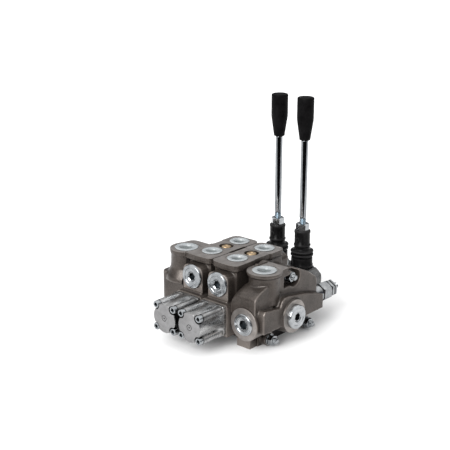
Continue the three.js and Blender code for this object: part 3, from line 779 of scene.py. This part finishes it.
def tie_rods():
    for n, centre in enumerate(TIE_RODS, 1):
        low, high = extent(f"tie_rod_{n}")
        nut_low, nut_high = extent(f"tie_nut_inlet_{n}")
        rod = Solid().rod("X", centre, 3.9, low.x + 8, nut_high.x - 6, 40)
        threaded(rod, "X", centre, 4.0, nut_high.x - 6, high.x, THREAD_PITCH)
        rod.turned("X", centre, [(3.3, low.x), (3.9, low.x + 0.8), (3.9, low.x + 8)], 40)
        publish(rod.object(f"tie_rod_{n}_stud"), BLOCK, [ZINC], [f"tie_rod_{n}"])
        seat = nut_low.x
        rim = [(4.3, seat), (8.0, seat), (8.2, seat + 0.3), (8.2, seat + 1.1)]
        rim += [(7.9, seat + 1.4), (4.3, seat + 1.4)]
        washer = Solid().turned("X", centre, rim, 64, closed=True).object(f"tie_washer_{n}")
        publish(washer, BLOCK, [ZINC])
        for end, lift, turn in (("inlet", 1.5, 11 * n), ("outlet", 0, 17 * n)):
            node = f"tie_nut_{end}_{n}"
            nut_low, nut_high = extent(node)
            nut = hex_nut(f"{node}_hex", "X", centre, 13, nut_low.x + lift, nut_high.x, 3.7, 30 + turn)
            publish(nut, BLOCK, [ZINC], [node])


def seal_ring(name, centre, radius, wire, station):
    """A black ring around the relief valve."""
    turns = [2 * math.pi * i / 12 for i in range(12)]
    circle = [(radius + wire * math.cos(t), station + wire * math.sin(t)) for t in turns]
    ring = Solid().turned("Y", centre, circle, 72, closed=True).object(name)
    publish(ring, BLOCK, [RUBBER], limit=60)


def relief_valve():
    centre = RELIEF_AT
    body_low, body_high = extent("relief_valve_body")
    nut_low, nut_high = extent("relief_lock_nut")
    face, step = 121.1, 145.0
    profile = [(11.9, body_low.y), (11.9, face), (13.1, face), (13.1, face + 3), (12.4, face + 3.4)]
    profile += [(12.4, step - 3), (11.0, step - 2.4), (11.0, step)]
    stem = Solid().turned("Y", centre, profile, 72).object("relief_valve_stem")
    publish(stem, BLOCK, [DULL_ZINC])
    body = hex_nut("relief_valve_hex", "Y", centre, 24, step, body_high.y, 4.8, turn=30)
    publish(body, BLOCK, [DULL_ZINC], ["relief_valve_body"])
    seal_ring("relief_seal_ring_1", centre, 12.0, 0.9, step - 1.2)
    nut = hex_nut("relief_lock_nut_hex", "Y", centre, 22, nut_low.y + 2.4, nut_high.y, 4.8, turn=30)
    groove = [(9.6, nut_high.y - 6), (14, nut_high.y - 6), (14, nut_high.y - 3.4), (9.6, nut_high.y - 3.4)]
    cut(nut, Solid().turned("Y", centre, groove, 64, closed=True))
    publish(nut, BLOCK, [DULL_ZINC], ["relief_lock_nut"])
    seal_ring("relief_seal_ring_2", centre, 10.2, 1.15, nut_low.y + 1.15)
    seal_ring("relief_seal_ring_3", centre, 10.1, 1.2, nut_high.y - 4.7)
    low, high = extent("relief_adjuster")
    screw = Solid().rod("Y", centre, 4.4, low.y, nut_high.y - 1, 32)
    threaded(screw, "Y", centre, 4.5, nut_high.y - 1, high.y, THREAD_PITCH)
    publish(screw.object("relief_adjuster_screw"), BLOCK, [DULL_ZINC], ["relief_adjuster"])


# -------------------- spring caps


POST, ARCH_FALL = 5.25, 0.029  # radius of a corner post, and how fast the arched face falls away


def cap_ring(y, fluted, shrink):
    """One ring of a spring cap. Fluted: round corner posts with arched faces between. Plain: a square."""
    half, corner, steps = CAP[1].x, 3.0, 56
    post_end, square_end = SCREW_AT + POST / math.sqrt(2), half - corner * (1 - 1 / math.sqrt(2))
    ring = []
    for k in range(4):
        c, s = math.cos(k * math.pi / 2), math.sin(k * math.pi / 2)
        for i in range(steps):
            t = 2 * i / steps - 1
            a, b = t * post_end, t * square_end
            reach = min(abs(abs(a) - SCREW_AT), POST)
            post = SCREW_AT + math.sqrt(POST * POST - reach * reach)
            arch = half - (0.9 if k % 2 else 0.0) - ARCH_FALL * a * a
            out = max(post, arch) + 0.35 * math.exp(-abs(post - arch) / 0.35) * (abs(a) < SCREW_AT)
            over = max(0.0, abs(b) - (half - corner))
            square = half - corner + math.sqrt(corner * corner - over * over)
            a = a * fluted + b * (1 - fluted)
            out = min(out, half) * fluted + square * (1 - fluted) - shrink
            a -= math.copysign(shrink, a) * abs(t)
            ring.append((a * c + out * s, y, SPOOL_Z - a * s + out * c))
    return ring


def notch_outline(sign_x, sign_z):
    """Room for a screw head at a corner of a cap: round on the inside, open to the outside."""
    room, reach = 6.5, 23.0
    inner = [(SCREW_AT + x, SCREW_AT + z) for x, z in arc(0, 0, room, 180, 270, 10)]
    outline = [(reach, SCREW_AT - room), (reach, reach), (SCREW_AT - room, reach)] + inner
    return [(sign_x * x, SPOOL_Z + sign_z * z) for x, z in outline]


def spring_cap(n, x):
    front, back = CAP[0].y, CAP[1].y
    stations = [(front, 1, 0.75), (front + 0.25, 1, 0.35), (front + 0.8, 1, 0.05), (front + 1.4, 1, 0)]
    stations += [(front + 20, 1, 0), (back - 18, 1, 0), (back - 15, 0.94, 0), (back - 12, 0.75, 0)]
    stations += [(back - 9, 0.4, 0), (back - 6.5, 0.12, 0), (back - 5, 0, 0.25), (back - 4.7, 0, 0)]
    stations += [(back - 0.3, 0, 0), (back, 0, 0.25)]
    cap = Solid().loft([cap_ring(*station) for station in stations]).object(f"spring_cap_{n}_cast")
    web = [(-6.4, back - 4.8), (0, back - 11), (6.4, back - 4.8)]
    boolean(cap, "UNION", Solid().prism("Z", web, SPOOL_Z + 17, CAP[1].z))
    bore = Solid().rod("Y", (0, SPOOL_Z), 13.2, front + 5, back + 1, 48)
    for sign_x, sign_z in CORNERS:
        cut(cap, Solid().prism("Y", notch_outline(sign_x, sign_z), front - 1, front + 6.3))
        bore.rod("Y", (SCREW_AT * sign_x, SPOOL_Z + SCREW_AT * sign_z), 3.2, front + 3, back + 1, 24)
    ring = [(4.5, front - 1), (4.2, front + 0.5), (3.5, front + 0.5), (3.3, front - 1)]
    mark = Solid().turned("Y", (0, SPOOL_Z), ring, 48, closed=True)
    mark.turned("Y", (0, SPOOL_Z), [(1.4, front - 1), (1.1, front + 0.35)], 24)
    cut(cap, bore, mark)
    mark_machined(cap, [("Y", front)])
    # Painted shade: notch walls, the side that faces the other cap, and the ring mark's groove get the
    # near-black die cast.
    inner_side = 1 if n == 1 else -1
    for polygon in cap.data.polygons:
        a, y, b = polygon.center.x, polygon.center.y, polygon.center.z - SPOOL_Z
        in_notch = y < front + 6.4 and math.hypot(abs(a) - SCREW_AT, abs(b) - SCREW_AT) < 6.7
        in_gap = polygon.normal.x * inner_side > 0.6 and abs(b) < 12
        in_mark = math.hypot(a, b) < 4.7 and front + 0.1 < y < front + 1
        if in_mark or polygon.material_index == 0 and (in_notch or in_gap) and y > front + 1.5:
            polygon.material_index = 2
    publish(cap, BLOCK, [DIE_CAST, BLASTED, PAINTED_SHADE_CAST], [f"spring_cap_{n}"], x)


def knurl(angle, station):
    """Straight knurling on a cap screw's head, as a change of radius."""
    return 0.14 * (math.cos(24 * angle) > 0) * (CAP[0].y + 1.2 < station < CAP[0].y + 5.6)


def cap_screw(n, k, x):
    low, high = extent(f"cap_screw_1_{k}")
    centre = ((low.x + high.x) / 2, (low.z + high.z) / 2)
    front = low.y
    head = [(3.9, front), (4.5, front + 0.15)]
    head += [(M6_HEAD, front + back) for back in (0.7, 1.1, 1.3, 5.5, 5.7)]
    head += [(4.6, front + 6), (3.0, front + 6.05), (3.0, -10), (2.4, -8.2)]
    screw = Solid().turned("Y", centre, head, 96, wave=knurl).object(f"cap_screw_{n}_{k}_m6")
    cut(screw, Solid().turned("Y", centre, [(3.1, front - 0.2), (2.6, front + 0.4)], 48))
    cut(screw, socket_cutter("Y", centre, M6_SOCKET, front - 1, front + 3, 20 * k + 7 * n))
    darken_socket(screw, "Y", centre, 2.95, front + 0.6, 1)
    publish(screw, BLOCK, [ZINC, SOCKET], [f"cap_screw_{n}_{k}"], x)


# -------------------- levers

NOSE_Y, NOSE_Z, NOSE_RADIUS = 173.0, 41.0, 20.5
BOX_SCREWS = ((-13.6, 29.5), (13.6, 52.0))


def lever_box(n, x):
    low_y = extent("lever_box_1")[0].y
    raw = Solid()
    outline = [(low_y - OVER, NOSE_Z - NOSE_RADIUS)] + arc(NOSE_Y, NOSE_Z, NOSE_RADIUS, -90, 22, 16)
    outline += [(y, NOSE_Z + NOSE_RADIUS) for y in (179.5, 150, low_y - OVER)]
    raw.prism("X", outline, -20, 20)
    raw.prism("Y", rounded(-20.0, 20.0, 20.5, 61.5, 4), low_y - OVER, low_y + 7)
    raw.turned("Z", (0, LEVER_Y), [(19, 50), (18.2, 61.3)])
    dents = Solid()
    for across in ((-24, -17.6), (17.6, 24)):
        dents.block(across, (low_y + 9, 158), (27, 55))
    body = cast(f"lever_box_{n}_cast", raw, [dents], length=1.2)
    boolean(body, "INTERSECT", Solid().block((-20, 20), (low_y, 200), (10, 61.5)))
    boolean(body, "UNION", Solid().rod("Z", (0, LEVER_Y), 13.5, 50, 70, 64))
    cut(body, Solid().block((-8, 8), (low_y + 4, 186.5), (SPOOL_Z - 11, 54)))
    cut(body, Solid().block((-8, 8), (LEVER_Y - 10, LEVER_Y + 10), (41, 66)))
    cut(body, Solid().rod("Z", (0, LEVER_Y), 10.5, 63, 80, 48))
    cut(body, Solid().rod("Y", (0, SPOOL_Z), 9.5, low_y - 5, low_y + 6, 48))
    cut(body, Solid().rod("X", (LEVER_Y, 60), 4.3, -13.2, 13.2, 32))
    wells = Solid()
    for dx, z in BOX_SCREWS:
        wells.turned("Y", (dx, z), [(5.3, 163), (5.4, 205)], 48)
    cut(body, wells)
    publish(body, BLOCK, [BOX_CAST], [f"lever_box_{n}"], x)
    for k, (dx, z) in enumerate(BOX_SCREWS, 1):
        head = [(2.0, 162), (M6_HEAD, 163.05), (M6_HEAD, 168), (4.4, 168.7), (3.9, 168.9)]
        screw = Solid().turned("Y", (dx, z), head, 72).object(f"lever_box_screw_{n}_{k}")
        cut(screw, socket_cutter("Y", (dx, z), M6_SOCKET, 170, 165.6, 12 * k))
        publish(screw, BLOCK, [ZINC], (), x)


def boot(n, x):
    """Rubber boot: skirt over the collar, bellows, and a neck with a lip, two flats and a button."""
    foot, lip = extent(f"boot_{n}")[0].z, extent(f"boot_{n}")[1].z
    outer = [(14.2, foot), (15.4, foot), (16.2, foot + 0.5), (16.4, foot + 1.4), (16.4, foot + 3.8)]
    outer += [(15.9, foot + 4.8), (15.6, foot + 5.2), (15.6, 75.0), (15.3, 75.8)]
    outer += [(13.4, 76.4), (13.2, 77.6), (13.4, 78.6), (16.2, 79.0), (16.6, 79.4), (16.6, 81.2)]
    outer += [(16.2, 81.7), (13.4, 82.2), (13.2, 83.3), (13.4, 84.2), (16.2, 84.6), (16.7, 85.0)]
    outer += [(16.7, 86.4), (16.2, 87.0), (12.4, 87.5), (11.5, 88.4), (11.4, 92.6), (11.9, 93.2)]
    outer += [(12.3, 94.0), (12.3, 95.6), (11.9, 96.4), (11.3, 97), (11.3, 112.6), (11.6, 113.2)]
    outer += [(11.8, 114), (11.8, lip - 1.3), (11.3, lip - 0.4), (10.6, lip)]
    inner = [(8.3, lip), (8.3, 88), (11.4, 86), (11.8, 76.5), (14.2, 74)]

    def flats(angle, station):
        """Pulls the neck in on its two sides."""
        share = max(0.0, min(1.0, (station - 96) / 3)) * max(0.0, min(1.0, (112.6 - station) / 2))
        return -0.55 * share * max(0.0, abs(math.cos(angle)) - 0.55)

    shape = Solid().turned("Z", (0, LEVER_Y), outer + inner, 96, closed=True, wave=flats)
    shape = shape.object(f"boot_{n}_bellows")
    button = [(2.9, 9.5), (2.9, 11.6), (2.6, 12.0), (1.9, 12.1), (0.4, 12.1)]
    button = [(radius, LEVER_Y - out) for radius, out in button]
    boolean(shape, "UNION", Solid().turned("Y", (0, 104.5), button, 32))
    settle(shape, [RUBBER], x, 45)
    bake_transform(shape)
    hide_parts(f"boot_{n}")


def lever(n, x):
    """Lock nut, thread, chromed rod and moulded knob."""
    body = f"lever_{n}"
    centre = (0, LEVER_Y)
    node = f"lever_lock_nut_{n}"
    nut_low, nut_high = extent(node)
    rod_low, rod_high = extent(f"lever_rod_{n}")
    radius = (rod_high.x - rod_low.x) / 2
    flats = min(nut_high.x - nut_low.x, nut_high.y - nut_low.y)
    nut = hex_nut(f"{node}_hex", "Z", centre, flats, nut_low.z, nut_high.z, radius - 0.6, 14 + 9 * n)
    publish(nut, body, [BRIGHT_ZINC], [node], x)
    core = Solid().rod("Z", centre, radius - 0.9, rod_low.z, nut_high.z - 1, 32)
    thread = threaded(core, "Z", centre, radius - 0.2, nut_high.z - 1, 135.2, 1.5)
    publish(thread.object(f"lever_thread_{n}"), body, [THREAD_ZINC], (), x)
    radius -= 0.03
    profile = [(radius - 1.1, 134.6), (radius - 0.5, 135.2), (radius - 0.12, 135.9), (radius, 136.6)]
    profile += [(radius, 136.9), (radius, 248.0), (radius, 248.3), (radius - 0.3, 248.8)]
    profile += [(4.0, 249.1), (4.0, rod_high.z)]
    rod = Solid().turned("Z", centre, profile, 64).object(f"lever_rod_{n}_chromed")
    publish(rod, body, [CHROME], [f"lever_rod_{n}"], x)
    low, high = extent(f"lever_knob_{n}")
    base, crown = low.z, high.z
    outer = [(4.3, base), (6.8, base), (7.4, base + 0.3), (7.7, base + 0.9), (8.0, base + 3)]
    outer += [(11.4, base + 26), (11.75, base + 29), (11.85, base + 33)]
    outer += [(11.9, crown - 6), (11.85, crown - 2.4), (11.6, crown - 1.6), (11.0, crown - 1.0)]
    outer += [(9.6, crown - 0.45), (8.4, crown - 0.25), (7.9, crown - 0.3), (7.5, crown - 0.65)]
    outer += [(6.5, crown - 0.75), (3.0, crown - 0.6), (0.4, crown - 0.55)]
    knob = Solid().turned("Z", centre, outer, 80).object(f"lever_knob_{n}_moulded")
    cut(knob, Solid().rod("Z", centre, 4.3, base - 1, base + 30, 48))
    publish(knob, body, [KNOB], [f"lever_knob_{n}"], x, limit=50)


def inner_pieces():
    """Gives the CAD nodes inside the valve their finishes."""
    for n in (1, 2):
        for node in ("spool", "centring_spring", "check_poppet", "pivot_pin", "lever_socket"):
            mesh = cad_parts[f"{node}_{n}"].data
            mesh.materials.clear()
            mesh.materials.append(CHROME if node == "spool" else STEEL)


# -------------------- setting


def sheet(name, corners, tone, glow=0.0):
    """A flat grey sheet of the setting, with a faint glow of its own."""
    mesh = bpy.data.meshes.new(name)
    mesh.from_pydata(corners, [], [(0, 1, 2, 3)])
    made = bpy.data.objects.new(name, mesh)
    bpy.context.scene.collection.objects.link(made)
    r = Recipe(f"{name}_paper")
    grain = r.ramp(r.noise(400, 3), (0.3, tone * 0.97), (0.7, tone))
    mesh.materials.append(r.finish(Base_Color=grain, Roughness=0.9, Specular_IOR_Level=0.0,
                                    Emission_Color=grain, Emission_Strength=glow))
    return made


VIEW_AZIMUTH, VIEW_ELEVATION = math.radians(41.871), math.radians(17.138)
TOWARDS_CAMERA = Vector((math.sin(VIEW_AZIMUTH), -math.cos(VIEW_AZIMUTH), 0))
ACROSS = Vector((math.cos(VIEW_AZIMUTH), math.sin(VIEW_AZIMUTH), 0))


def floor():
    """A pale floor, and on it a dark card that is seen only in reflections."""
    size = 60.0
    square = [(-size, -size, 0), (size, -size, 0), (size, size, 0), (-size, size, 0)]
    sheet("floor", square, 0.78, 0.06)
    near, far, left, right = 0.35, 9.0, 2.2, 1.3
    corners = [TOWARDS_CAMERA * d + ACROSS * w + Vector((0, 0, 0.002)) for d, w in
               ((near, -left), (far, -left), (far, right), (near, right))]
    card = sheet("dark_card", corners, 0.008)
    card.visible_camera = card.visible_diffuse = card.visible_shadow = False


def sun():
    """A broad soft light from the front."""
    light = bpy.data.lights.new("key", "SUN")
    light.energy = 3.8
    light.angle = math.radians(40)
    made = bpy.data.objects.new("key", light)
    made.rotation_euler = Vector((0.12, -0.85, 0.5)).to_track_quat("Z", "Y").to_euler()
    bpy.context.scene.collection.objects.link(made)


def tent():
    """A soft white sky: bright overhead, dark towards the horizon."""
    world = bpy.data.worlds.new("tent")
    bpy.context.scene.world = world
    world.use_nodes = True
    nodes, links = world.node_tree.nodes, world.node_tree.links
    lean = nodes.new("ShaderNodeVectorMath")
    lean.operation = "DOT_PRODUCT"
    links.new(nodes.new("ShaderNodeTexCoord").outputs["Generated"], lean.inputs[0])
    lean.inputs[1].default_value = Vector((0, 0, 1))
    ramp = nodes.new("ShaderNodeValToRGB")
    links.new(lean.outputs["Value"], ramp.inputs["Fac"])
    ramp.color_ramp.elements[0].position = 0.34
    ramp.color_ramp.elements[0].color = (0.08, 0.085, 0.095, 1)
    ramp.color_ramp.elements[1].position = 0.62
    ramp.color_ramp.elements[1].color = (1, 1, 1, 1)
    links.new(ramp.outputs["Color"], nodes["Background"].inputs["Color"])
    nodes["Background"].inputs["Strength"].default_value = 1.45


def camera():
    """The camera, at the photograph's viewing angle."""
    made = bpy.data.objects.new("camera", bpy.data.cameras.new("camera"))
    made.location = ORIGIN + Vector((815.6, -856.8, 518.3)) * MM
    made.rotation_euler = (math.pi / 2 - VIEW_ELEVATION, 0, VIEW_AZIMUTH)
    made.data.lens = 74.0
    made.data.sensor_width = 36
    made.data.clip_end = 100
    bpy.context.scene.collection.objects.link(made)
    bpy.context.scene.camera = made


camera()
tent()
sun()
floor()
bpy.context.scene.view_settings.view_transform = "Standard"

outlet_section()
inlet_section()
tie_rods()
relief_valve()
flanged_plug("inlet_front_plug", "Y", (INLET_X, SPOOL_Z), 15, 12, extent("inlet_front_plug")[0].y,
             -13.6, 2, 11.6, groove=(12.9, 0.3), finish=BRIGHT_ZINC)
flanged_plug("inlet_side_plug", "X", tuple(local(middle("inlet_side_plug")).yz), 16.5, 10,
             extent("inlet_side_plug")[1].x, INLET[1].x + 0.1, 110, 11.6, finish=BRIGHT_ZINC)
port_plug("port_plug_p", 12, 16.3, INLET_TOP - SPOT_DEPTH)
port_plug("port_plug_t", 12, 16.3, PLATE_TOP - SPOT_DEPTH)
for number, station in enumerate(SPOOL_X, 1):
    working_section(number, station)
    spring_cap(number, station)
    for corner in (1, 2, 3, 4):
        cap_screw(number, corner, station)
    front, rear = f"front_valve_plug_{number}", f"rear_valve_plug_{number}"
    flanged_plug(front, "Y", (0, AUX_Z), 16.8, 10, extent(front)[0].y, AUX_FACES[0] - 0.1, 10, 9.6, station)
    flanged_plug(rear, "Y", (0, AUX_Z), 16.8, 10, extent(rear)[1].y, AUX_FACES[1] + 0.1, 98, 9.6, station)
    for port in "ab":
        port_plug(f"port_plug_{port}{number}", 10.5, 14, PLATE_TOP - SPOT_DEPTH)
    check_plug(number, station)
    lever_box(number, station)
    boot(number, station)
    lever(number, station)
inner_pieces()
